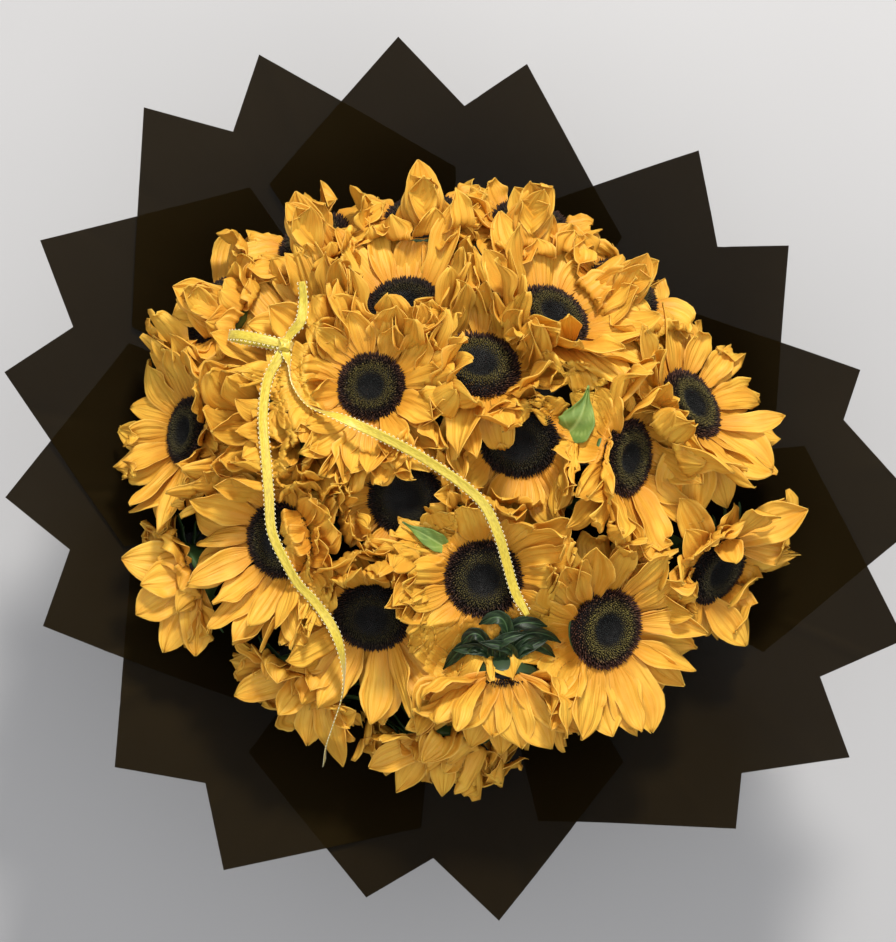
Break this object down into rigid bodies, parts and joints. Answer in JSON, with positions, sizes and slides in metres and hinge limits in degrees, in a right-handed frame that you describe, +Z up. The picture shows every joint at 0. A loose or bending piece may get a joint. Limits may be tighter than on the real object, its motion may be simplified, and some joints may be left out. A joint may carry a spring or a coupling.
{
  "type": "bunch of sunflowers",
  "caption": "Hand-tied dome of cut sunflowers on spiralled stems, in a shutter of dark see-through film, with a narrow satin ribbon over it.",
  "frame": {"origin": "middle of the bunch's outline seen from above, on the surface that the cut stem ends stand on", "axes": "+Z up along the bound stems, +Y towards the edge of the bunch that is at the top of the picture, +X to its right"},
  "size_m": [0.6552, 0.6278, 0.4933],
  "materials": {
    "petal": "satin",
    "floret_disc": "matte",
    "green": "satin",
    "string": "matte",
    "ribbon": "satin",
    "film": "satin"
  },
  "bodies": {
    "root": {"binding_string": "string", "disc_01": "floret_disc", "disc_02": "floret_disc", "disc_03": "floret_disc", "disc_04": "floret_disc", "disc_05": "floret_disc", "disc_06": "floret_disc", "disc_07": "floret_disc", "disc_08": "floret_disc", "disc_09": "floret_disc", "disc_10": "floret_disc", "disc_11": "floret_disc", "disc_12": "floret_disc", "disc_13": "floret_disc", "disc_14": "floret_disc", "disc_15": "floret_disc", "disc_16": "floret_disc", "disc_17": "floret_disc", "disc_18": "floret_disc", "disc_19": "floret_disc", "disc_20": "floret_disc", "disc_21": "floret_disc", "disc_22": "floret_disc", "disc_23": "floret_disc", "disc_24": "floret_disc", "petals_01": "petal", "petals_02": "petal", "petals_03": "petal", "petals_04": "petal", "petals_05": "petal", "petals_06": "petal", "petals_07": "petal", "petals_08": "petal", "petals_09": "petal", "petals_10": "petal", "petals_11": "petal", "petals_12": "petal", "petals_13": "petal", "petals_14": "petal", "petals_15": "petal", "petals_16": "petal", "petals_17": "petal", "petals_18": "petal", "petals_19": "petal", "petals_20_21_22": "petal", "petals_23": "petal", "petals_24": "petal", "petals_25": "petal", "ribbon": "ribbon", "stems": "green", "wrap_sheet_1": "film", "wrap_sheet_2": "film", "wrap_sheet_3": "film", "wrap_sheet_4": "film", "wrap_sheet_5": "film", "wrap_sheet_6": "film", "wrap_sheet_7": "film", "wrap_sheet_8": "film", "wrap_sheet_9": "film", "wrap_tie": "ribbon"}
  },
  "joints": []
}
